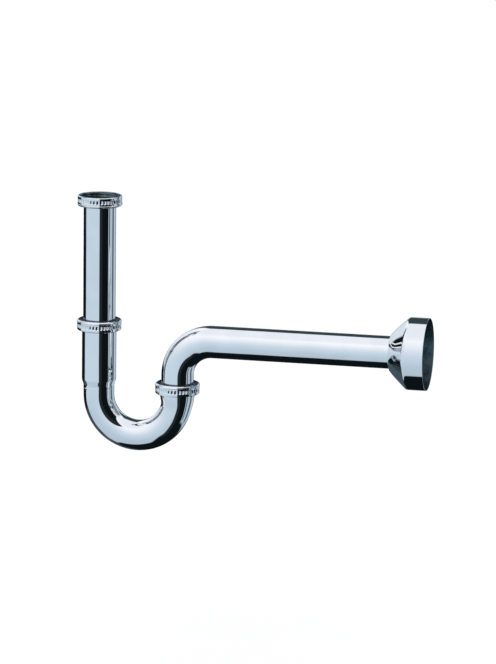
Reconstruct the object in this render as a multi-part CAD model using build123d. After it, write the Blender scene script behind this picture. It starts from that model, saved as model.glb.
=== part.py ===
from build123d import *
from math import radians, tan
import os

# A chromed tubular P trap for a washbasin, in millimetres.
# The origin is on the inlet axis, in the mouth of the inlet nut. +Z is up, and the outlet runs along +X.

# Tubes
PIPE_R = 16.0             # outside radius of the inlet and outlet tubes
PIPE_WALL = 1.0
BEND_TUBE_R = 15.25       # outside radius of the U-bend's tube
SOCKET_R = 17.0           # outside radius of the U-bend's two expanded sockets
SOCKET_WALL = 0.7
INLET_STEP_LENGTH = 6.5   # of the cone between the long socket and the bend tube
OUTLET_STEP_LENGTH = 2.0
INLET_STEP_ROUND = 8.0    # of the edges at both ends of that long cone
LEG_SPACING = 80.0        # between the U-bend's two legs
ELBOW_RADIUS = 35.0       # centreline radius of the outlet pipe's elbow

# Heights, from the inlet nut's mouth
INLET_SLIP_TOP = -124.0   # top of the inlet slip nut
INLET_STEP = -184.8       # where the long socket starts to narrow to the bend tube
TAILPIECE_END = -166.0    # lower end of the inlet tube, inside the long socket
BEND_CENTRE = -199.5      # centre of the U-bend
OUTLET_SLIP_TOP = -183.7  # top of the outlet slip nut
OUTLET_STEP = -197.5      # where the short socket starts to narrow to the bend tube
OUTLET_LEG_END = -196.9   # lower end of the outlet pipe, inside the short socket
OUTLET_AXIS = -140.9      # axis of the horizontal tube

# Places along the outlet
ROSETTE_NECK = 292.5      # where the rosette's neck meets the outlet tube
PIPE_END = 309.0          # end of the outlet tube, inside the rosette
WALL_PLANE = 329.7        # the wall, which the rosette's rim rests on

# Thread G 1 1/4 in the inlet nut
INLET_MINOR_R = 19.476
INLET_MAJOR_R = 20.955
INLET_PITCH = 2.309
INLET_ROOT_FLAT = 0.5     # width of the thread's root

# Finer thread in the slip nuts, and the play that the collars' thread leaves in it
SLIP_MINOR_R = 19.95
SLIP_MAJOR_R = 20.75
SLIP_PITCH = 1.5
SLIP_ROOT_FLAT = 0.2
COLLAR_TIP_FLAT = 0.12
THREAD_PLAY = 0.35        # in radius
FLANK_SLOPE = tan(radians(27.5))

# Nuts
NUT_HEIGHT = 10.5
NUT_BODY_R = 21.85
NUT_BEAD_R = 22.2         # the rounded rim at the shoulder end
NUT_BEAD_HEIGHT = 2.4
NUT_BEAD_ROUND = 2.0
NUT_EDGE = 0.6            # bevel at the open end
DISH_R = 19.9             # the shallow dish in the shoulder, inside the bead
DISH_DEPTH = 0.45         # at the hole
NUT_BORE_R = 16.6         # hole in the shoulder, round the tube
SHOULDER = 1.5
SLIP_NUT_RELIEF = 1.3     # height of the smooth relief between the thread and the shoulder
INLET_NUT_RELIEF = 3.7    # this one takes the flange and the gasket too
FLUTES = 40
FLUTE_R = 1.1
FLUTE_DEPTH = 0.5
FLUTE_LENGTH = 4.0
SLIP_NUT_PLAIN = 2.7      # plain stretch between a slip nut's open end and its flutes
INLET_NUT_PLAIN = 2.6

# Collars and the rubber joints in them
COLLAR_HEIGHT = 5.7
COLLAR_DROP = 4.5         # from a slip nut's top down to its collar's mouth
MOUTH_R = 18.7            # wide end of the collar's conical mouth
MOUTH_DEPTH = 2.6
RING_R = 19.0             # outside radius of the rings inside the nuts
SLIP_RING_HEIGHT = 1.0
FLANGE_R = 19.1           # the inlet tube's flange
FLANGE_HEIGHT = 0.8
FRICTION_RING_BORE_R = 17.0
FRICTION_RING_HEIGHT = 0.5
GASKET_BORE_R = 15.2
GASKET_HEIGHT = 2.0

# Gaps
RUN_GAP = 0.05            # a rubber ring on the tube that slides in it
LOOSE_GAP = 0.3           # between loose parts
FACE_GAP = 0.05           # between flat faces that turn or slide on each other

# Rosette: distances along the outlet are from its neck
ROSETTE_R = 35.5
ROSETTE_WALL = 0.9
NECK_BORE_R = 16.35
NECK_R = 17.2
CONE_START = 4.5
CONE_START_R = 23.0
CONE_START_ROUND = 60.0
CONE_END = 17.9           # the sharp corner under the shoulder's rounding
SHOULDER_ROUND = 5.0
GROOVE_START = 1.6        # the groove in the neck, for the grip ring
GROOVE_WIDTH = 3.0
GROOVE_R = 18.2
GROOVE_LIP_R = 16.9
GROOVE_LIP = 1.0
GRIP_RING_SECTION_R = 1.05

PIPE_BORE_R = PIPE_R - PIPE_WALL
SOCKET_BORE_R = SOCKET_R - SOCKET_WALL
BEND_BORE_R = BEND_TUBE_R - PIPE_WALL
ELBOW_START = OUTLET_AXIS - ELBOW_RADIUS
ELBOW_END = LEG_SPACING + ELBOW_RADIUS
DOWN = (0, -1, 0)         # turning about this axis takes the bend down from the inlet leg
UP = (0, 1, 0)


def turned(points, x=0.0, rounds=()):
    """A solid turned about the vertical axis at x, from its half outline of (radius, height) points.

    rounds lists (corner, radius) pairs, where corner is a point's place in the outline.
    """
    outline = make_face(Polyline(*points, close=True))
    for corner, radius in rounds:
        vertex = outline.vertices().sort_by_distance((*points[corner], 0))[0]
        outline = fillet(vertex, radius)
    return Pos(x, 0, 0) * revolve(Plane.XZ * outline, Axis.Z)


def along_outlet(solid, x):
    """A turned solid laid on the outlet's axis, with its height along +X from x."""
    return Pos(x, 0, OUTLET_AXIS) * Rot(0, 90, 0) * solid


def ring_section(outer_r, inner_r):
    """A tube's flat cross-section, across the vertical."""
    return Circle(outer_r) - Circle(inner_r)


def thread_ridge(root_r, tip_r, tip_flat, bottom, top):
    """A right-hand helical ridge, for cutting a slip nut's thread or for standing on a collar."""
    sink = 0.2
    root_half = tip_flat / 2 + (tip_r - root_r + sink) * FLANK_SLOPE
    section = [
        (root_r - sink, -root_half),
        (tip_r, -tip_flat / 2),
        (tip_r, tip_flat / 2),
        (root_r - sink, root_half),
    ]
    profile = Plane.XZ * make_face(Polyline(*section, close=True))
    helix = Helix(SLIP_PITCH, top - bottom, root_r)
    return Pos(0, 0, bottom) * sweep(profile, path=helix, is_frenet=True)


def flutes(bottom):
    """The grip flutes: upright round-ended notches all round a nut's body."""
    straight = FLUTE_LENGTH - 2 * FLUTE_R
    end = Sphere(FLUTE_R)
    notch = Cylinder(FLUTE_R, straight) + Pos(0, 0, straight / 2) * end + Pos(0, 0, -straight / 2) * end
    place = Pos(NUT_BODY_R + FLUTE_R - FLUTE_DEPTH, 0, bottom + FLUTE_LENGTH / 2)
    return [Rot(0, 0, 360 * i / FLUTES) * place * notch for i in range(FLUTES)]


def thread_top(relief):
    return NUT_HEIGHT - SHOULDER - relief


def nut(thread_points, plain, relief, major_r):
    """A fluted nut with its open end at height 0 and its shoulder at the top.

    thread_points is the bore's outline, from the relief under the shoulder down to the open end.
    """
    underside = NUT_HEIGHT - SHOULDER
    bead_start = NUT_HEIGHT - NUT_BEAD_HEIGHT
    points = [
        (NUT_BODY_R - NUT_EDGE, 0),
        (NUT_BODY_R, NUT_EDGE),
        (NUT_BODY_R, bead_start),
        (NUT_BEAD_R, bead_start + 0.35),
        (NUT_BEAD_R, NUT_HEIGHT),
        (DISH_R, NUT_HEIGHT),
        (NUT_BORE_R, NUT_HEIGHT - DISH_DEPTH),
        (NUT_BORE_R, underside),
        (major_r + 0.05, underside),
        (major_r + 0.05, thread_top(relief)),
        *thread_points,
    ]
    return turned(points, rounds=[(4, NUT_BEAD_ROUND), (6, 0.3)]) - flutes(plain)


def inlet_nut():
    """The basin nut, turned over so that its open end is up. Its thread is drawn as separate rings."""
    top = thread_top(INLET_NUT_RELIEF)
    mouth = 0.4
    half_groove = INLET_ROOT_FLAT / 2 + (INLET_MAJOR_R - INLET_MINOR_R) * FLANK_SLOPE
    points = [(INLET_MINOR_R, top)]
    height = top - INLET_PITCH / 2
    while height - half_groove > mouth:
        points += [
            (INLET_MINOR_R, height + half_groove),
            (INLET_MAJOR_R, height + INLET_ROOT_FLAT / 2),
            (INLET_MAJOR_R, height - INLET_ROOT_FLAT / 2),
            (INLET_MINOR_R, height - half_groove),
        ]
        height -= INLET_PITCH
    points += [(INLET_MINOR_R, mouth), (INLET_MINOR_R + mouth, 0)]
    return Rot(180, 0, 0) * nut(points, INLET_NUT_PLAIN, INLET_NUT_RELIEF, INLET_MAJOR_R)


def slip_nut():
    """A slip nut with a helical thread. The thread's phase is that of the collar's."""
    top = thread_top(SLIP_NUT_RELIEF)
    points = [(SLIP_MINOR_R, top), (SLIP_MINOR_R, 0.8), (SLIP_MINOR_R + 0.8, 0)]
    body = nut(points, SLIP_NUT_PLAIN, SLIP_NUT_RELIEF, SLIP_MAJOR_R)
    run_out = top + SLIP_NUT_RELIEF / 5
    return body - thread_ridge(SLIP_MINOR_R, SLIP_MAJOR_R, SLIP_ROOT_FLAT, -SLIP_PITCH, run_out)


def collar():
    """The ferrule brazed on a socket, with the thread for the slip nut. Height 0 is the nut's open end."""
    mouth = NUT_HEIGHT - COLLAR_DROP
    bottom = mouth - COLLAR_HEIGHT
    root_r = SLIP_MINOR_R - THREAD_PLAY
    tip_r = SLIP_MAJOR_R - THREAD_PLAY
    rod = Cylinder(root_r, 2 * (mouth + 3 * SLIP_PITCH))
    rod += thread_ridge(root_r, tip_r, COLLAR_TIP_FLAT, -SLIP_PITCH, mouth + SLIP_PITCH)
    cone_end = mouth - MOUTH_DEPTH * (MOUTH_R - SOCKET_R) / (MOUTH_R - SOCKET_BORE_R)
    envelope = turned([
        (SOCKET_R, bottom),
        (tip_r - 0.9, bottom),
        (tip_r + 0.1, bottom + 1.0),
        (tip_r + 0.1, mouth - 1.0),
        (tip_r - 0.9, mouth),
        (MOUTH_R, mouth),
        (SOCKET_R, cone_end),
    ])
    return rod & envelope


def at_nut(solid, x, nut_top):
    """A nut, or what belongs to it, moved to the joint whose nut has its top at nut_top."""
    return Pos(x, 0, nut_top - NUT_HEIGHT) * solid


def plain_ring(inner_r, outer_r, bottom, height, x=0.0, edge=0.2):
    points = [(inner_r, bottom), (outer_r, bottom), (outer_r, bottom + height), (inner_r, bottom + height)]
    return turned(points, x, rounds=[(1, edge), (2, edge)])


def slip_ring(x, nut_top):
    """The thin plastic ring between a slip nut's shoulder and its seal."""
    bottom = nut_top - SHOULDER - FACE_GAP - SLIP_RING_HEIGHT
    return plain_ring(PIPE_R + LOOSE_GAP, RING_R, bottom, SLIP_RING_HEIGHT, x)


def seal(x, nut_top):
    """The rubber ring: a flange over the collar's mouth, and a cone between the collar and the tube."""
    flange_top = nut_top - SHOULDER - SLIP_RING_HEIGHT - 2 * FACE_GAP
    mouth = nut_top - COLLAR_DROP
    inner = PIPE_R + RUN_GAP
    points = [
        (inner, mouth - MOUTH_DEPTH + LOOSE_GAP),
        (inner + 0.3, mouth - MOUTH_DEPTH + LOOSE_GAP),
        (MOUTH_R - LOOSE_GAP, mouth + FACE_GAP),
        (RING_R, mouth + FACE_GAP),
        (RING_R, flange_top),
        (inner, flange_top),
    ]
    return turned(points, x, rounds=[(4, 0.3)])


def socket(x, nut_top, step, step_length, rounds=()):
    """One of the U-bend's legs: an expanded socket that narrows at a step to the bend tube."""
    mouth = nut_top - COLLAR_DROP - MOUTH_DEPTH
    narrow = step - step_length
    points = [
        (SOCKET_BORE_R, mouth),
        (SOCKET_R, mouth),
        (SOCKET_R, step),
        (BEND_TUBE_R, narrow),
        (BEND_TUBE_R, BEND_CENTRE),
        (BEND_BORE_R, BEND_CENTRE),
        (BEND_BORE_R, narrow),
        (SOCKET_BORE_R, step),
    ]
    if narrow == BEND_CENTRE:
        points = points[:4] + points[6:]
    return turned(points, x, rounds)


def u_bend():
    section = Pos(0, 0, BEND_CENTRE) * ring_section(BEND_TUBE_R, BEND_BORE_R)
    bend = revolve(section, Axis((LEG_SPACING / 2, 0, BEND_CENTRE), DOWN), 180)
    rounds = [(corner, INLET_STEP_ROUND) for corner in (2, 3, 6, 7)]
    inlet_leg = socket(0, INLET_SLIP_TOP, INLET_STEP, INLET_STEP_LENGTH, rounds)
    outlet_leg = socket(LEG_SPACING, OUTLET_SLIP_TOP, OUTLET_STEP, OUTLET_STEP_LENGTH)
    return bend + inlet_leg + outlet_leg


def inlet_tailpiece():
    """The inlet tube with the flange that hangs it in the inlet nut."""
    flange_bottom = SHOULDER - NUT_HEIGHT + FRICTION_RING_HEIGHT + 2 * FACE_GAP
    flange_top = flange_bottom + FLANGE_HEIGHT
    points = [
        (PIPE_BORE_R, TAILPIECE_END),
        (PIPE_R - 0.4, TAILPIECE_END),
        (PIPE_R, TAILPIECE_END + 0.4),
        (PIPE_R, flange_bottom),
        (FLANGE_R, flange_bottom),
        (FLANGE_R, flange_top),
        (PIPE_BORE_R, flange_top),
    ]
    return turned(points, rounds=[(3, 0.6), (5, 0.3), (6, 0.4)])


def inlet_friction_ring():
    bottom = SHOULDER - NUT_HEIGHT + FACE_GAP
    return plain_ring(FRICTION_RING_BORE_R, RING_R, bottom, FRICTION_RING_HEIGHT)


def inlet_gasket():
    """The flat rubber washer on the flange, which seals against the basin's waste."""
    bottom = SHOULDER - NUT_HEIGHT + FRICTION_RING_HEIGHT + 2 * FACE_GAP + FLANGE_HEIGHT
    return plain_ring(GASKET_BORE_R, RING_R, bottom, GASKET_HEIGHT, edge=0.3)


def outlet_pipe():
    """The short upright leg, the elbow and the horizontal tube, in one piece."""
    section = ring_section(PIPE_R, PIPE_BORE_R)
    leg = extrude(Pos(LEG_SPACING, 0, OUTLET_LEG_END) * section, ELBOW_START - OUTLET_LEG_END)
    elbow = revolve(Pos(LEG_SPACING, 0, ELBOW_START) * section, Axis((ELBOW_END, 0, ELBOW_START), UP), 90)
    run = along_outlet(extrude(section, PIPE_END - ELBOW_END), ELBOW_END)
    return leg + elbow + run


def wall_rosette():
    """The bell that covers the hole in the wall: neck, cone and cylinder in one thin shell."""
    depth = WALL_PLANE - ROSETTE_NECK
    slope = (ROSETTE_R - CONE_START_R) / (CONE_END - CONE_START)
    inner_r = ROSETTE_R - ROSETTE_WALL
    lip_end = GROOVE_START + GROOVE_WIDTH + GROOVE_LIP
    drop = ROSETTE_WALL * (1 + slope ** 2) ** 0.5
    inner_start_r = CONE_START_R + slope * (lip_end - CONE_START) - drop
    inner_end = CONE_START + (inner_r + drop - CONE_START_R) / slope
    points = [
        (NECK_BORE_R, 0),
        (NECK_R, 0),
        (NECK_R + 1.2, 0.6),
        (CONE_START_R, CONE_START),
        (ROSETTE_R, CONE_END),
        (ROSETTE_R, depth),
        (inner_r, depth),
        (inner_r, inner_end),
        (inner_start_r, lip_end),
        (GROOVE_LIP_R, lip_end),
        (GROOVE_LIP_R, GROOVE_START + GROOVE_WIDTH),
        (GROOVE_R, GROOVE_START + GROOVE_WIDTH),
        (GROOVE_R, GROOVE_START),
        (NECK_BORE_R, GROOVE_START),
    ]
    rounds = [
        (2, 0.8),
        (3, CONE_START_ROUND),
        (4, SHOULDER_ROUND),
        (5, 0.25),
        (7, SHOULDER_ROUND - ROSETTE_WALL),
    ]
    return along_outlet(turned(points, rounds=rounds), ROSETTE_NECK)


def rosette_grip_ring():
    """The rubber ring in the rosette's neck. It rides on the tube with the rosette."""
    ring = Torus(PIPE_R + RUN_GAP + GRIP_RING_SECTION_R, GRIP_RING_SECTION_R)
    return along_outlet(ring, ROSETTE_NECK + GROOVE_START + GROOVE_WIDTH / 2)


def build():
    threaded_nut = slip_nut()
    ferrule = collar()
    return {
        "inlet_nut": inlet_nut(),
        "inlet_friction_ring": inlet_friction_ring(),
        "inlet_tailpiece": inlet_tailpiece(),
        "inlet_gasket": inlet_gasket(),
        "inlet_slip_nut": at_nut(threaded_nut, 0, INLET_SLIP_TOP),
        "inlet_slip_ring": slip_ring(0, INLET_SLIP_TOP),
        "inlet_seal": seal(0, INLET_SLIP_TOP),
        "u_bend_inlet_collar": at_nut(ferrule, 0, INLET_SLIP_TOP),
        "u_bend": u_bend(),
        "u_bend_outlet_collar": at_nut(ferrule, LEG_SPACING, OUTLET_SLIP_TOP),
        "outlet_slip_nut": at_nut(threaded_nut, LEG_SPACING, OUTLET_SLIP_TOP),
        "outlet_slip_ring": slip_ring(LEG_SPACING, OUTLET_SLIP_TOP),
        "outlet_seal": seal(LEG_SPACING, OUTLET_SLIP_TOP),
        "outlet_pipe": outlet_pipe(),
        "wall_rosette": wall_rosette(),
        "rosette_grip_ring": rosette_grip_ring(),
    }


os.makedirs("parts", exist_ok=True)
for name, solid in build().items():
    export_step(solid, f"parts/{name}.step")
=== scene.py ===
from math import ceil, cos, hypot, pi, radians, sin, sqrt, tan

import bmesh
import bpy
from mathutils import Matrix, Vector


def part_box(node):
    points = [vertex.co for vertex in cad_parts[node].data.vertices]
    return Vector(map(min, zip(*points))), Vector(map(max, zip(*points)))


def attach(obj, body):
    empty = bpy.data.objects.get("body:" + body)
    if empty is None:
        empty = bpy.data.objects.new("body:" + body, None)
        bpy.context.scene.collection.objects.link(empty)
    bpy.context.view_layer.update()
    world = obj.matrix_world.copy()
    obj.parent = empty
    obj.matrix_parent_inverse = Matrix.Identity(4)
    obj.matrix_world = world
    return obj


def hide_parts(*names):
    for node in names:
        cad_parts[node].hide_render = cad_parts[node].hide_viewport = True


# A chromed tubular P trap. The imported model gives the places; this script makes the visible shapes
# and materials. Lengths are in metres, and MM turns millimetres into them.

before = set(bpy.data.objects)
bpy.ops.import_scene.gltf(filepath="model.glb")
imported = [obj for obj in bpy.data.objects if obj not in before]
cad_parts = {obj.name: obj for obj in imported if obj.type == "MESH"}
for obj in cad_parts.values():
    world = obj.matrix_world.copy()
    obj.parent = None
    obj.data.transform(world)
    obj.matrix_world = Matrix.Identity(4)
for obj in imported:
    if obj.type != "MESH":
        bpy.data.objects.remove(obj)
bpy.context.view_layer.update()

MM = 0.001

# Tubes
PIPE_R = 16.0 * MM
PIPE_BORE_R = 15.0 * MM
BEND_R = 15.25 * MM
BEND_BORE_R = 14.25 * MM
SOCKET_R = 17.0 * MM
SOCKET_BORE_R = 16.3 * MM
ELBOW_RADIUS = 35.0 * MM
INLET_STEP = -184.8 * MM      # where the long socket starts to narrow to the bend tube
INLET_STEP_LENGTH = 6.5 * MM
INLET_STEP_ROUND = 8.0 * MM
OUTER_STEP_AHEAD = 1.0 * MM   # the outer side of that step ends this much sooner than the bore
RIB = -193.3 * MM             # a faint raised ring under the step, left by the expanding tool
RIB_HEIGHT = 0.16 * MM
RIB_HALF_WIDTH = 0.8 * MM
RIB_ROUND = 1.0 * MM
OUTLET_STEP = -197.5 * MM     # where the short socket starts to narrow
OUTLET_STEP_LENGTH = 11.0 * MM   # most of it in the bend
OUTLET_STEP_ROUND = 40.0 * MM
SOCKET_DROP = 7.1 * MM        # from a slip nut's top to the mouth of its socket
FLANGE_R = 19.1 * MM
FLANGE_HEIGHT = 0.8 * MM

# Nuts
NUT_BODY_R = 21.85 * MM
NUT_BEAD_R = 22.2 * MM        # the rounded rim at the shoulder end
NUT_BEAD_HEIGHT = 2.4 * MM
NUT_BEAD_STEP = 0.35 * MM     # height of the slope from the body out to the bead
NUT_BEAD_ROUND = 2.0 * MM
NUT_EDGE = 0.6 * MM           # bevel at the open end
THREAD_BEVEL = 0.8 * MM       # at the bore's open end
NUT_BORE_R = 16.6 * MM
SHOULDER = 1.5 * MM
DISH_R = 19.9 * MM            # the shallow dish in the shoulder, inside the bead; it takes the nut's lining, whose dark colour is painted shade
DISH_DEPTH = 0.45 * MM        # at the hole
SLIP_NUT_RELIEF = 1.3 * MM    # height of the smooth relief between the thread and the shoulder
INLET_NUT_RELIEF = 3.7 * MM
INLET_THREAD = (19.476 * MM, 20.955 * MM, 2.309 * MM, 0.5 * MM)   # minor and major radius, pitch, root
SLIP_THREAD = (19.95 * MM, 20.75 * MM, 1.5 * MM, 0.2 * MM)
FLANK_SLOPE = tan(radians(27.5))
FLUTES = 40
FLUTE_HALF_WIDTH = 1.45 * MM
FLUTE_DEPTH = 0.85 * MM
FLUTE_LENGTH = 4.0 * MM
FLUTE_END = 0.9 * MM          # length of the slope at each end
FLUTE_LEAN = 0.25 * MM        # of the root, to one side
FLUTE_REACH = 4.0             # degrees on either side of a flute's middle that need close angles
SLIP_NUT_PLAIN = 2.7 * MM     # plain stretch between a nut's open end and its flutes
INLET_NUT_PLAIN = 2.6 * MM

# Collars, with heights from the slip nut's open end, and what lies between them and the nuts
COLLAR_ROOT_R = 19.6 * MM
COLLAR_TIP_R = 20.4 * MM
COLLAR_TIP_FLAT = 0.12 * MM
COLLAR_BEVEL = 0.9 * MM
MOUTH_R = 18.7 * MM
MOUTH_DEPTH = 2.6 * MM
SEAL_FLANGE = 1.75 * MM       # height of a seal's flange over its collar

# Rosette, with distances from its neck
NECK_BORE_R = 16.35 * MM
NECK_R = 17.2 * MM
NECK_FLARE_R = 18.4 * MM      # where the short flare at the neck meets the cone
NECK_FLARE = 0.6 * MM
CONE_START = 4.5 * MM
CONE_START_R = 23.0 * MM
CONE_START_ROUND = 60.0 * MM
CONE_END = 17.9 * MM
ROSETTE_WALL = 0.9 * MM
SHOULDER_ROUND = 5.0 * MM
GROOVE_START = 1.6 * MM
GROOVE_WIDTH = 3.0 * MM
GROOVE_R = 18.2 * MM
GROOVE_LIP_R = 16.9 * MM
GROOVE_LIP = 1.0 * MM

# Camera, with angles in degrees
CAMERA_AZIMUTH = 12.06
CAMERA_ELEVATION = 11.76
CAMERA_ROLL = 0.82
CAMERA_TARGET = (150.5, 0, -128.8)   # in millimetres
CAMERA_DISTANCE = 3500 * MM
CAMERA_LENS = 193.55

# Stage
FLOOR_RADIUS = 30
FLOOR_HEIGHT = -0.45

# What the chrome reflects: colours by height from straight down (0) to straight up (1)
SKY = (
    (0.0, (0.46, 0.55, 0.62)),
    (1.0, (0.91, 0.93, 1.0)),
    (0.17, (0.50, 0.585, 0.66)),
    (0.33, (0.53, 0.64, 0.75)),
    (0.43, (0.60, 0.71, 0.81)),
    (0.50, (0.65, 0.75, 0.845)),
    (0.58, (0.765, 0.83, 0.905)),
    (0.67, (0.91, 0.95, 1.02)),
    (0.77, (1.04, 1.05, 1.09)),
    (0.86, (0.92, 0.94, 1.0)),
)
BLACK = (0.004, 0.007, 0.009)
COAL = (0.018, 0.024, 0.025)
SLATE = (0.035, 0.055, 0.065)
DUSK = (0.06, 0.09, 0.11)
MIST = (0.16, 0.22, 0.27)
HAZE = (0.46, 0.56, 0.65)
WHITE = (0.97, 1.0, 1.04)

# Cards in front of that, as (azimuth, half width, lowest, highest, softness, colour), in degrees
CARDS = (
    (0, 181, -95, -62, 2, BLACK),
    (-140, 42, -95, -53, 4, BLACK),
    (100, 95, -95, -42, 4, BLACK),
    (180, 26, -95, -26, 5, BLACK),
    (112, 30, -42, 2, 5, HAZE),
    (113, 22, 2, 46, 6, MIST),
    (150, 17, -18, 20, 4, HAZE),
    (88, 4, -40, 2, 1.5, SLATE),
    (123, 8, -40, 0, 3, DUSK),
    (180, 14, -18, 7, 4, DUSK),
    (-168, 15, 9, 57, 3, SLATE),
    (161, 20, 22, 57, 4, SLATE),
    (-130, 27, -56, -19, 3, DUSK),
    (-102, 9, -50, -22, 4, SLATE),
    (-137, 33, -22, -4, 2, BLACK),
    (-106, 10, -24, -9, 2, BLACK),
    (-105, 10, 2, 40, 3, BLACK),
    (-108, 12, 40, 58, 5, MIST),
    (-101, 13, 6.5, 8, 0.5, WHITE),
    (-101, 13, 11.5, 13, 0.5, WHITE),
    (46, 33, -95, 47, 2, BLACK),
    (24, 9, -55, 44, 5, COAL),
)

TUBE_SEGMENTS = 192
ROSETTE_SEGMENTS = 256
UP = pi / 2
DOWN = -pi / 2


# ---- Shapes ----

def middle(node):
    """The middle of a CAD node's box."""
    low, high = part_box(node)
    return (low + high) / 2


def route(x, z, heading, *legs):
    """A path in the plane y = 0, as a function of the distance along it.

    Each leg is (length, turn): a straight run, or an arc that turns left by that many radians.
    The function gives the point, and the direction to the path's right.
    """
    def at(distance):
        px, pz, angle = x, z, heading
        for place, (length, turn) in enumerate(legs):
            step = distance if place == len(legs) - 1 else min(distance, length)
            if turn:
                radius = length / turn
                end = angle + step / radius
                px += radius * (sin(end) - sin(angle))
                pz -= radius * (cos(end) - cos(angle))
                angle = end
            else:
                px += step * cos(angle)
                pz += step * sin(angle)
            distance -= step
            if distance <= 0:
                break
        return Vector((px, 0, pz)), Vector((sin(angle), 0, -cos(angle)))
    return at


def rounded(corners, turn_step=radians(12)):
    """A closed outline of (distance, radius) points, with an arc at each corner that has a third number."""
    outline = []
    for place, corner in enumerate(corners):
        here = Vector(corner[:2])
        if len(corner) == 2:
            outline.append(here)
            continue
        before = (Vector(corners[place - 1][:2]) - here).normalized()
        after = (Vector(corners[(place + 1) % len(corners)][:2]) - here).normalized()
        half = before.angle(after) / 2
        reach = corner[2] / tan(half)
        centre = here + (before + after).normalized() * corner[2] / sin(half)
        start = here + before * reach - centre
        sweep = start.angle_signed(here + after * reach - centre)
        steps = max(2, ceil(abs(sweep) / turn_step))
        for i in range(steps + 1):
            outline.append(centre + start @ Matrix.Rotation(sweep * i / steps, 2))
    return outline


def split(outline, longest):
    """The closed outline with points added so that no side is longer than that."""
    points = []
    for place, here in enumerate(outline):
        after = outline[(place + 1) % len(outline)]
        parts = max(1, ceil((after - here).length / longest))
        points += [here.lerp(after, i / parts) for i in range(parts)]
    return points


def even_angles(count):
    return [2 * pi * i / count for i in range(count)]


def skin(name, path, outline, angles, shape=None):
    """A closed shell: the outline carried round the path at each angle.

    shape(distance, radius, angle) may change the radius. Where the outline heads back along the path,
    the shell faces its own axis, and takes its second material.
    """
    vertices = []
    for distance, radius in outline:
        point, right = path(distance)
        for angle in angles:
            r = shape(distance, radius, angle) if shape else radius
            vertices.append(point + right * (r * cos(angle)) + Vector((0, r * sin(angle), 0)))
    rows, columns = len(outline), len(angles)
    faces = []
    inside = []
    for row in range(rows):
        below, above = row * columns, (row + 1) % rows * columns
        back = outline[(row + 1) % rows].x < outline[row].x - 0.01 * MM
        for column in range(columns):
            beside = (column + 1) % columns
            faces.append((below + column, below + beside, above + beside, above + column))
            inside.append(int(back))
    mesh = bpy.data.meshes.new(name)
    mesh.from_pydata(vertices, [], faces)
    mesh.polygons.foreach_set("material_index", inside)
    shell = bmesh.new()
    shell.from_mesh(mesh)
    bmesh.ops.recalc_face_normals(shell, faces=shell.faces)
    shell.to_mesh(mesh)
    shell.free()
    mesh.shade_smooth()
    piece = bpy.data.objects.new(name, mesh)
    bpy.context.scene.collection.objects.link(piece)
    normals = piece.modifiers.new("even_normals", "WEIGHTED_NORMAL")
    normals.keep_sharp = True
    return piece


def stands_for(piece, node, body, outside, inside=None):
    """The piece takes a CAD node's place, and rides on its body. Without inside it is one material."""
    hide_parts(node)
    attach(piece, body)
    piece.data.materials.append(outside)
    piece.data.materials.append(inside or outside)


# ---- Nuts ----

def flute_depth(height, angle, band_middle, lean):
    """How deep the grip flutes are at that place: a leaning V with a softened root and edges."""
    pitch = 2 * pi / FLUTES
    across = ((angle + pitch / 2) % pitch - pitch / 2) * NUT_BODY_R - lean
    half_width = FLUTE_HALF_WIDTH + (lean if across < 0 else -lean)
    past_straight = max(0, abs(height - band_middle) - (FLUTE_LENGTH / 2 - FLUTE_END))
    from_root = hypot(across / half_width, past_straight / FLUTE_END, 0.05)
    if from_root >= 1.05:
        return 0
    sharp = FLUTE_DEPTH * (1 - from_root)
    return (sharp + hypot(sharp, 0.03 * MM)) / 2


def thread_depth(height, angle, thread, end):
    """How deep a right-hand thread's groove is in a nut's bore. It fades out towards both ends."""
    minor, major, pitch, root = thread
    phase = (height / pitch - angle / (2 * pi)) % 1
    from_root = min(phase, 1 - phase) * pitch
    depth = min(major - minor, major - minor - (from_root - root / 2) / FLANK_SLOPE)
    fade = min(1, max(0, min(height, end - height) / (pitch / 4)))
    return max(0, depth) * fade


def nut_shape(plain, thread, thread_end, lean):
    """The flutes and the thread, as a change to the radius of a nut's outline."""
    def shape(distance, radius, angle):
        if radius > NUT_BODY_R - 0.01 * MM:
            return radius - flute_depth(distance, angle, plain + FLUTE_LENGTH / 2, lean)
        if abs(radius - thread[0]) < 0.01 * MM:
            return radius + thread_depth(distance, angle, thread, thread_end)
        return radius
    return shape


def flute_angles():
    """Angles round a nut: close together across each flute, and one between flutes."""
    pitch = 360 / FLUTES
    within = [-FLUTE_REACH + 2 * FLUTE_REACH * i / 12 for i in range(13)]
    return [radians(pitch * flute + a) for flute in range(FLUTES) for a in within + [pitch / 2]]


def make_nut(node, plain, relief, thread, open_end, heading):
    """A fluted union nut on a node's axis. Heading is from its open end to its shoulder."""
    low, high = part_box(node)
    height = high.z - low.z
    underside = height - SHOULDER
    thread_end = underside - relief
    minor, major = thread[:2]
    relief_r = major + 0.05 * MM
    bead_start = height - NUT_BEAD_HEIGHT
    outline = rounded([
        (0, NUT_BODY_R - NUT_EDGE, 0.3 * MM),
        (NUT_EDGE, NUT_BODY_R, 0.5 * MM),
        (bead_start, NUT_BODY_R, 0.15 * MM),
        (bead_start + NUT_BEAD_STEP, NUT_BEAD_R, 0.15 * MM),
        (height, NUT_BEAD_R, NUT_BEAD_ROUND),
        (height, DISH_R, 0.15 * MM),
        (height - DISH_DEPTH, NUT_BORE_R, 0.2 * MM),
        (underside, NUT_BORE_R),
        (underside, relief_r),
        (thread_end, relief_r),
        (thread_end, minor),
        (THREAD_BEVEL, minor),
        (0, minor + THREAD_BEVEL, 0.1 * MM),
    ])
    path = route(middle(node).x, open_end, heading, (height, 0))
    shape = nut_shape(plain, thread, thread_end, FLUTE_LEAN if heading == UP else -FLUTE_LEAN)
    return skin(f"{node}_turned", path, split(outline, 0.25 * MM), flute_angles(), shape)


# ---- Tubes ----

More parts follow.
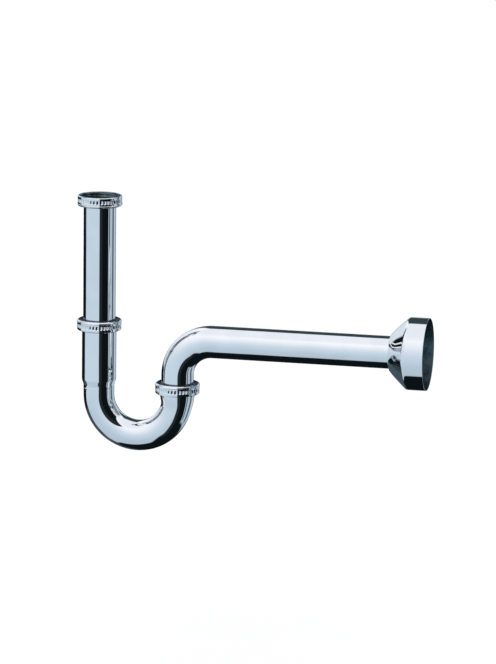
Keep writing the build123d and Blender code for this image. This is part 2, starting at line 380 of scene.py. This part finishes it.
def make_tailpiece():
    low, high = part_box("inlet_tailpiece")
    length = high.z - low.z
    outline = rounded([
        (0, PIPE_BORE_R, 0.2 * MM),
        (0, PIPE_R, 0.4 * MM),
        (length - FLANGE_HEIGHT, PIPE_R, 0.6 * MM),
        (length - FLANGE_HEIGHT, FLANGE_R, 0.2 * MM),
        (length, FLANGE_R, 0.3 * MM),
        (length, PIPE_BORE_R, 0.4 * MM),
    ])
    path = route(0, low.z, UP, (length, 0))
    return skin("inlet_tailpiece_drawn", path, split(outline, 4 * MM), even_angles(TUBE_SEGMENTS))


def make_u_bend():
    inlet_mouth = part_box("inlet_slip_nut")[1].z - SOCKET_DROP
    outlet_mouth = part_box("outlet_slip_nut")[1].z - SOCKET_DROP
    spacing = middle("outlet_slip_nut").x
    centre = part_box("u_bend")[0].z + spacing / 2 + BEND_R
    inlet_leg = inlet_mouth - centre
    bend = pi * spacing / 2
    total = inlet_leg + bend + outlet_mouth - centre
    inlet_step = inlet_mouth - INLET_STEP
    outlet_step = total - (outlet_mouth - OUTLET_STEP)
    path = route(0, inlet_mouth, DOWN, (inlet_leg, 0), (bend, pi), (outlet_mouth - centre, 0))
    inlet_narrow = inlet_step + INLET_STEP_LENGTH
    outlet_narrow = outlet_step - OUTLET_STEP_LENGTH
    rib = inlet_mouth - RIB
    outline = rounded([
        (0, SOCKET_BORE_R, 0.2 * MM),
        (0, SOCKET_R, 0.2 * MM),
        (inlet_step, SOCKET_R, INLET_STEP_ROUND),
        (inlet_narrow - OUTER_STEP_AHEAD, BEND_R, INLET_STEP_ROUND),
        (rib - RIB_HALF_WIDTH, BEND_R, RIB_ROUND),
        (rib, BEND_R + RIB_HEIGHT, RIB_ROUND),
        (rib + RIB_HALF_WIDTH, BEND_R, RIB_ROUND),
        (outlet_narrow, BEND_R, OUTLET_STEP_ROUND),
        (outlet_step, SOCKET_R, OUTLET_STEP_ROUND),
        (total, SOCKET_R, 0.2 * MM),
        (total, SOCKET_BORE_R, 0.2 * MM),
        (outlet_step, SOCKET_BORE_R, OUTLET_STEP_ROUND),
        (outlet_narrow, BEND_BORE_R, OUTLET_STEP_ROUND),
        (inlet_narrow, BEND_BORE_R, INLET_STEP_ROUND),
        (inlet_step, SOCKET_BORE_R, INLET_STEP_ROUND),
    ], radians(3))
    return skin("u_bend_drawn", path, split(outline, 2 * MM), even_angles(TUBE_SEGMENTS))


def make_outlet_pipe():
    low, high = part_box("outlet_pipe")
    leg_x = middle("outlet_slip_nut").x
    axis = high.z - PIPE_R
    leg = axis - ELBOW_RADIUS - low.z
    elbow = ELBOW_RADIUS * pi / 2
    run = high.x - leg_x - ELBOW_RADIUS
    total = leg + elbow + run
    path = route(leg_x, low.z, UP, (leg, 0), (elbow, -pi / 2), (run, 0))
    outline = rounded([
        (0, PIPE_BORE_R, 0.2 * MM),
        (0, PIPE_R, 0.3 * MM),
        (total, PIPE_R, 0.3 * MM),
        (total, PIPE_BORE_R, 0.2 * MM),
    ])
    return skin("outlet_pipe_drawn", path, split(outline, 2 * MM), even_angles(TUBE_SEGMENTS))


# ---- Rosette ----

def make_rosette():
    low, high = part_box("wall_rosette")
    depth = high.x - low.x
    rim_r = (high.z - low.z) / 2
    inner_r = rim_r - ROSETTE_WALL
    slope = (rim_r - CONE_START_R) / (CONE_END - CONE_START)
    drop = ROSETTE_WALL * sqrt(1 + slope ** 2)
    lip_end = GROOVE_START + GROOVE_WIDTH + GROOVE_LIP
    groove_end = GROOVE_START + GROOVE_WIDTH
    outline = rounded([
        (0, NECK_BORE_R, 0.15 * MM),
        (0, NECK_R, 0.3 * MM),
        (NECK_FLARE, NECK_FLARE_R, 0.8 * MM),
        (CONE_START, CONE_START_R, CONE_START_ROUND),
        (CONE_END, rim_r, SHOULDER_ROUND),
        (depth, rim_r, 0.25 * MM),
        (depth, inner_r, 0.2 * MM),
        (CONE_START + (inner_r + drop - CONE_START_R) / slope, inner_r, SHOULDER_ROUND - ROSETTE_WALL),
        (lip_end, CONE_START_R + slope * (lip_end - CONE_START) - drop),
        (lip_end, GROOVE_LIP_R),
        (groove_end, GROOVE_LIP_R),
        (groove_end, GROOVE_R),
        (GROOVE_START, GROOVE_R),
        (GROOVE_START, NECK_BORE_R),
    ])
    path = route(low.x, (low.z + high.z) / 2, 0, (depth, 0))
    return skin("wall_rosette_spun", path, split(outline, 1.5 * MM), even_angles(ROSETTE_SEGMENTS))


# ---- Collars and rings ----

def make_collar(node, nut):
    """The threaded ferrule on one of the U-bend's sockets. Its thread runs in the slip nut's."""
    low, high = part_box(node)
    open_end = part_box(nut)[0].z
    bottom, mouth = low.z - open_end, high.z - open_end
    cone_end = mouth - MOUTH_DEPTH * (MOUTH_R - SOCKET_R) / (MOUTH_R - SOCKET_BORE_R)
    pitch = SLIP_THREAD[2]
    ridge = COLLAR_TIP_R - COLLAR_ROOT_R

    def shape(height, radius, angle):
        phase = (height / pitch - angle / (2 * pi)) % 1
        from_tip = min(phase, 1 - phase) * pitch
        fallen = max(0, from_tip - COLLAR_TIP_FLAT / 2) / FLANK_SLOPE
        return min(radius, COLLAR_TIP_R - min(ridge, fallen))

    outline = [Vector(point) for point in (
        (bottom, SOCKET_R),
        (bottom, COLLAR_TIP_R - COLLAR_BEVEL),
        (bottom + COLLAR_BEVEL, COLLAR_TIP_R),
        (mouth - COLLAR_BEVEL, COLLAR_TIP_R),
        (mouth, COLLAR_TIP_R - COLLAR_BEVEL),
        (mouth, MOUTH_R),
        (cone_end, SOCKET_R),
    )]
    path = route(middle(node).x, open_end, UP, (mouth, 0))
    return skin(f"{node}_turned", path, split(outline, 0.12 * MM), even_angles(TUBE_SEGMENTS), shape)


def make_seal(node, nut):
    """The rubber ring: a flange over the collar's mouth, and a cone between the collar and the tube."""
    low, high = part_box(node)
    inner_r = PIPE_R + 0.05 * MM
    outer_r = (high.x - low.x) / 2
    height = high.z - low.z
    flange = height - SEAL_FLANGE
    outline = rounded([
        (0, inner_r + 0.3 * MM, 0.1 * MM),
        (flange, MOUTH_R - 0.3 * MM, 0.3 * MM),
        (flange, outer_r, 0.2 * MM),
        (height, outer_r, 0.3 * MM),
        (height, inner_r, 0.2 * MM),
        (0, inner_r),
    ])
    path = route(middle(node).x, low.z, UP, (height, 0))
    return skin(f"{node}_moulded", path, split(outline, 0.5 * MM), even_angles(TUBE_SEGMENTS))


def make_flat_ring(node, inner_r, edge):
    low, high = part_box(node)
    outer_r = (high.x - low.x) / 2
    height = high.z - low.z
    outline = rounded([
        (0, inner_r, edge),
        (0, outer_r, edge),
        (height, outer_r, edge),
        (height, inner_r, edge),
    ])
    path = route(middle(node).x, low.z, UP, (height, 0))
    return skin(f"{node}_stamped", path, split(outline, 0.5 * MM), even_angles(TUBE_SEGMENTS))


def make_grip_ring():
    """The rubber ring in the rosette's neck, with a flat where it grips the tube."""
    low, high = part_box("rosette_grip_ring")
    width = high.x - low.x
    outer_r = (high.z - low.z) / 2
    inner_r = outer_r - width
    round_r = 0.45 * width
    outline = rounded([
        (0, inner_r, round_r),
        (0, outer_r, round_r),
        (width, outer_r, round_r),
        (width, inner_r, round_r),
    ])
    path = route(low.x, (low.z + high.z) / 2, 0, (width, 0))
    return skin("rosette_grip_ring_moulded", path, outline, even_angles(TUBE_SEGMENTS))


# ---- Nodes ----

class Graph:
    """Adds nodes to one node tree. A value given to a node is a number or another node's output."""

    def __init__(self, owner):
        owner.use_nodes = True
        self.nodes = owner.node_tree.nodes
        self.links = owner.node_tree.links

    def feed(self, socket, value):
        if isinstance(value, bpy.types.NodeSocket):
            self.links.new(value, socket)
        else:
            socket.default_value = value

    def math(self, operation, *values):
        node = self.nodes.new("ShaderNodeMath")
        node.operation = operation
        for socket, value in zip(node.inputs, values):
            self.feed(socket, value)
        return node.outputs[0]

    def step(self, value, start, end, low=0.0, high=1.0):
        """Goes smoothly from low to high as value goes from start to end."""
        node = self.nodes.new("ShaderNodeMapRange")
        node.interpolation_type = "SMOOTHSTEP"
        for name, setting in (("From Min", start), ("From Max", end), ("To Min", low), ("To Max", high)):
            node.inputs[name].default_value = setting
        self.feed(node.inputs["Value"], value)
        return node.outputs["Result"]

    def ramp(self, value, stops):
        """A colour that changes along value. Stops are (place, colour)."""
        node = self.nodes.new("ShaderNodeValToRGB")
        elements = node.color_ramp.elements
        for element, (place, colour) in zip(elements, stops):
            element.position = place
            element.color = (*colour, 1)
        for place, colour in stops[2:]:
            elements.new(place).color = (*colour, 1)
        self.feed(node.inputs["Fac"], value)
        return node.outputs["Color"]

    def noise(self, place, size, detail=2.0):
        """Smooth noise about 0.5, with features of that size. The place is a set of coordinates."""
        node = self.nodes.new("ShaderNodeTexNoise")
        node.inputs["Scale"].default_value = 1 / size
        node.inputs["Detail"].default_value = detail
        self.feed(node.inputs["Vector"], place)
        return node.outputs[0]

    def stretch(self, place, factors):
        node = self.nodes.new("ShaderNodeVectorMath")
        node.operation = "MULTIPLY"
        self.feed(node.inputs[0], place)
        self.feed(node.inputs[1], factors)
        return node.outputs[0]

    def bump(self, height, depth, under=None):
        """A normal that is bent as if the surface stood out by height times depth."""
        node = self.nodes.new("ShaderNodeBump")
        node.inputs["Distance"].default_value = depth
        self.feed(node.inputs["Height"], height)
        if under:
            self.feed(node.inputs["Normal"], under)
        return node.outputs[0]

    def mix(self, factor, first, second):
        node = self.nodes.new("ShaderNodeMix")
        node.data_type = "RGBA"
        self.feed(node.inputs["Factor"], factor)
        self.feed(node.inputs["A"], first)
        self.feed(node.inputs["B"], second)
        return node.outputs["Result"]


# ---- Materials ----

def begin(name, metallic):
    """A new material with its node graph, its shader, and the piece's own coordinates."""
    material = bpy.data.materials.new(name)
    graph = Graph(material)
    shader = graph.nodes["Principled BSDF"]
    shader.inputs["Metallic"].default_value = metallic
    place = graph.nodes.new("ShaderNodeTexCoord").outputs["Object"]
    return material, graph, shader, place


def polished_chrome(name, wave_size, wave_depth, along=(1, 1, 1)):
    """Mirror plate: a faint haze in patches, fine pits, and a slow waviness that bends its reflections."""
    material, graph, shader, place = begin(name, 1)
    patches = graph.noise(place, 22 * MM, 4)
    haze = graph.noise(place, 1.5 * MM, 3)
    tone = graph.step(patches, 0.35, 0.65)
    colour = graph.mix(tone, (0.85, 0.875, 0.895, 1), (0.895, 0.91, 0.925, 1))
    graph.feed(shader.inputs["Base Color"], colour)
    dull = graph.math("MULTIPLY", tone, graph.step(haze, 0.45, 0.75))
    graph.feed(shader.inputs["Roughness"], graph.math("MULTIPLY_ADD", dull, 0.035, 0.018))
    waves = graph.noise(graph.stretch(place, along), wave_size, 0)
    slow = graph.bump(waves, wave_depth)
    graph.feed(shader.inputs["Normal"], graph.bump(graph.noise(place, 0.35 * MM, 1), 0.0006 * MM, slow))
    return material


def satin_plate_painted_shade(name, dark, light, roughness, along=(1, 1, 1)):
    """Plate that was never polished, for the insides: dull, with turning marks and stains. Its darker base
    colour is painted shade, standing for the shade inside the hollows it lines.
    """
    material, graph, shader, place = begin(name, 1)
    shader.inputs["Specular Tint"].default_value = (0.35, 0.4, 0.45, 1)
    stains = graph.noise(place, 9 * MM, 5)
    # Random stains between two dark colours; the darkness of both is painted shade for the hollows.
    colour = graph.mix(graph.step(stains, 0.35, 0.7), (*dark, 1), (*light, 1))
    graph.feed(shader.inputs["Base Color"], colour)
    marks = graph.noise(graph.stretch(place, along), 0.6 * MM, 3)
    graph.feed(shader.inputs["Roughness"], graph.math("MULTIPLY_ADD", marks, 0.2, roughness - 0.1))
    graph.feed(shader.inputs["Normal"], graph.bump(marks, 0.01 * MM))
    return material


def brass(name):
    """Machined brass, gone brown in patches, with fine turning marks round it."""
    material, graph, shader, place = begin(name, 1)
    tarnish = graph.step(graph.noise(place, 5 * MM, 5), 0.42, 0.68)
    colour = graph.mix(tarnish, (0.80, 0.62, 0.33, 1), (0.42, 0.29, 0.13, 1))
    graph.feed(shader.inputs["Base Color"], colour)
    marks = graph.noise(graph.stretch(place, (0.04, 0.04, 1)), 0.12 * MM, 2)
    graph.feed(shader.inputs["Roughness"], graph.math("MULTIPLY_ADD", tarnish, 0.18, 0.24))
    graph.feed(shader.inputs["Normal"], graph.bump(marks, 0.004 * MM))
    return material


def rubber(name):
    """Matt moulded rubber with a fine grain and a pale bloom in places."""
    material, graph, shader, place = begin(name, 0)
    bloom = graph.step(graph.noise(place, 4 * MM, 5), 0.5, 0.8)
    colour = graph.mix(bloom, (0.018, 0.018, 0.02, 1), (0.05, 0.05, 0.053, 1))
    graph.feed(shader.inputs["Base Color"], colour)
    graph.feed(shader.inputs["Roughness"], graph.math("MULTIPLY_ADD", bloom, 0.18, 0.58))
    graph.feed(shader.inputs["Normal"], graph.bump(graph.noise(place, 0.25 * MM, 2), 0.02 * MM))
    shader.inputs["Specular IOR Level"].default_value = 0.4
    return material


def plastic(name):
    """Matt polyethylene, slightly yellowed in patches, with a fine stamped grain."""
    material, graph, shader, place = begin(name, 0)
    yellowed = graph.step(graph.noise(place, 8 * MM, 4), 0.4, 0.7)
    colour = graph.mix(yellowed, (0.84, 0.84, 0.81, 1), (0.76, 0.74, 0.66, 1))
    graph.feed(shader.inputs["Base Color"], colour)
    grain = graph.noise(place, 0.4 * MM, 3)
    graph.feed(shader.inputs["Roughness"], graph.math("MULTIPLY_ADD", grain, 0.2, 0.38))
    graph.feed(shader.inputs["Normal"], graph.bump(grain, 0.01 * MM))
    return material


# ---- Camera and stage ----

def make_camera():
    azimuth, elevation = radians(CAMERA_AZIMUTH), radians(CAMERA_ELEVATION)
    target = Vector(CAMERA_TARGET) * MM
    back = Vector((sin(azimuth) * cos(elevation), -cos(azimuth) * cos(elevation), sin(elevation)))
    data = bpy.data.cameras.new("camera")
    data.lens = CAMERA_LENS
    data.sensor_width = 36
    data.clip_end = 20
    camera = bpy.data.objects.new("camera", data)
    bpy.context.scene.collection.objects.link(camera)
    camera.matrix_world = (
        Matrix.Translation(target + back * CAMERA_DISTANCE)
        @ back.to_track_quat("Z", "Y").to_matrix().to_4x4()
        @ Matrix.Rotation(radians(CAMERA_ROLL), 4, "Z")
    )
    bpy.context.scene.camera = camera


def make_floor():
    """A plain pale floor. The chrome reflects only the studio."""
    place = (0, 0, FLOOR_HEIGHT)
    bpy.ops.mesh.primitive_circle_add(vertices=96, radius=FLOOR_RADIUS, fill_type="NGON", location=place)
    floor = bpy.context.object
    floor.name = "floor"
    floor.visible_glossy = False
    material = bpy.data.materials.new("floor")
    material.use_nodes = True
    shader = material.node_tree.nodes["Principled BSDF"]
    shader.inputs["Base Color"].default_value = (0.94, 0.94, 0.94, 1)
    shader.inputs["Roughness"].default_value = 0.9
    shader.inputs["Specular IOR Level"].default_value = 0
    floor.data.materials.append(material)


def make_studio():
    """Soft light all round, and for reflections soft boxes and dark cards at set directions.

    Azimuth 0 is towards the front (-Y), and 90 is towards +X.
    """
    world = bpy.data.worlds.new("studio")
    bpy.context.scene.world = world
    graph = Graph(world)
    direction = graph.nodes.new("ShaderNodeTexCoord").outputs["Generated"]
    axes = graph.nodes.new("ShaderNodeSeparateXYZ")
    graph.feed(axes.inputs[0], direction)
    x, y, z = axes.outputs
    azimuth = graph.math("DEGREES", graph.math("ARCTAN2", x, graph.math("MULTIPLY", y, -1)))
    elevation = graph.math("DEGREES", graph.math("ARCSINE", z))
    colour = graph.ramp(graph.math("DIVIDE", graph.math("ADD", elevation, 90), 180), SKY)
    for centre, half_width, low, high, softness, shade in CARDS:
        offset = graph.math("WRAP", graph.math("SUBTRACT", azimuth, centre), 180, -180)
        offset = graph.math("ABSOLUTE", offset)
        beside = graph.step(offset, half_width - softness, half_width + softness, 1, 0)
        above = graph.step(elevation, low - softness, low + softness)
        below = graph.step(elevation, high - softness, high + softness, 1, 0)
        inside = graph.math("MULTIPLY", graph.math("MULTIPLY", beside, above), below)
        colour = graph.mix(inside, colour, (*shade, 1))
    reflected = graph.nodes.new("ShaderNodeLightPath").outputs["Is Glossy Ray"]
    background = graph.nodes["Background"]
    graph.feed(background.inputs["Color"], graph.mix(reflected, (1.1, 1.1, 1.1, 1), colour))


bpy.context.scene.view_settings.view_transform = "Standard"
make_camera()
make_floor()
make_studio()

tube_chrome = polished_chrome("tube_chrome", 24 * MM, 0.06 * MM)
bend_chrome = polished_chrome("bend_chrome", 16 * MM, 0.09 * MM)
nut_chrome = polished_chrome("nut_chrome", 2.5 * MM, 0.008 * MM)
rosette_chrome = polished_chrome("rosette_chrome", 9 * MM, 0.05 * MM, (1, 0.25, 0.25))
# Linings: dark, blue-grey base colours painted as the shade inside the tube ends, the nut bores and
# shoulder dishes, and the rosette's hollow.
tube_lining_painted_shade = satin_plate_painted_shade("tube_lining_painted_shade", (0.16, 0.19, 0.21), (0.30, 0.34, 0.36), 0.38)
nut_lining_painted_shade = satin_plate_painted_shade("nut_lining_painted_shade", (0.10, 0.13, 0.15), (0.24, 0.30, 0.34), 0.30, (0.05, 0.05, 1))
mouth_lining_painted_shade = satin_plate_painted_shade("mouth_lining_painted_shade", (0.20, 0.26, 0.30), (0.50, 0.60, 0.66), 0.26, (0.05, 0.05, 1))
rosette_lining_painted_shade = satin_plate_painted_shade("rosette_lining_painted_shade", (0.16, 0.24, 0.29), (0.36, 0.48, 0.54), 0.32, (1, 0.1, 0.1))
collar_brass = brass("collar_brass")
black_rubber = rubber("black_rubber")
slip_plastic = plastic("slip_plastic")

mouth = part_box("inlet_nut")[1].z
inlet_nut = make_nut("inlet_nut", INLET_NUT_PLAIN, INLET_NUT_RELIEF, INLET_THREAD, mouth, DOWN)
stands_for(inlet_nut, "inlet_nut", "inlet_nut", nut_chrome, mouth_lining_painted_shade)
stands_for(make_tailpiece(), "inlet_tailpiece", "inlet_tailpiece", tube_chrome, tube_lining_painted_shade)
gasket = make_flat_ring("inlet_gasket", 15.2 * MM, 0.3 * MM)
stands_for(gasket, "inlet_gasket", "inlet_tailpiece", black_rubber)
friction_ring = make_flat_ring("inlet_friction_ring", 17.0 * MM, 0.15 * MM)
stands_for(friction_ring, "inlet_friction_ring", "inlet_friction_ring", slip_plastic)
stands_for(make_u_bend(), "u_bend", "u_bend", bend_chrome, tube_lining_painted_shade)
stands_for(make_outlet_pipe(), "outlet_pipe", "outlet_pipe", bend_chrome, tube_lining_painted_shade)
for end in ("inlet", "outlet"):
    nut, ring, seal, collar = f"{end}_slip_nut", f"{end}_slip_ring", f"{end}_seal", f"u_bend_{end}_collar"
    slip_nut = make_nut(nut, SLIP_NUT_PLAIN, SLIP_NUT_RELIEF, SLIP_THREAD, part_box(nut)[0].z, UP)
    stands_for(slip_nut, nut, nut, nut_chrome, nut_lining_painted_shade)
    stands_for(make_flat_ring(ring, 16.3 * MM, 0.2 * MM), ring, ring, slip_plastic)
    stands_for(make_seal(seal, nut), seal, seal, black_rubber)
    stands_for(make_collar(collar, nut), collar, "u_bend", collar_brass)
stands_for(make_rosette(), "wall_rosette", "wall_rosette", rosette_chrome, rosette_lining_painted_shade)
stands_for(make_grip_ring(), "rosette_grip_ring", "rosette_grip_ring", black_rubber)
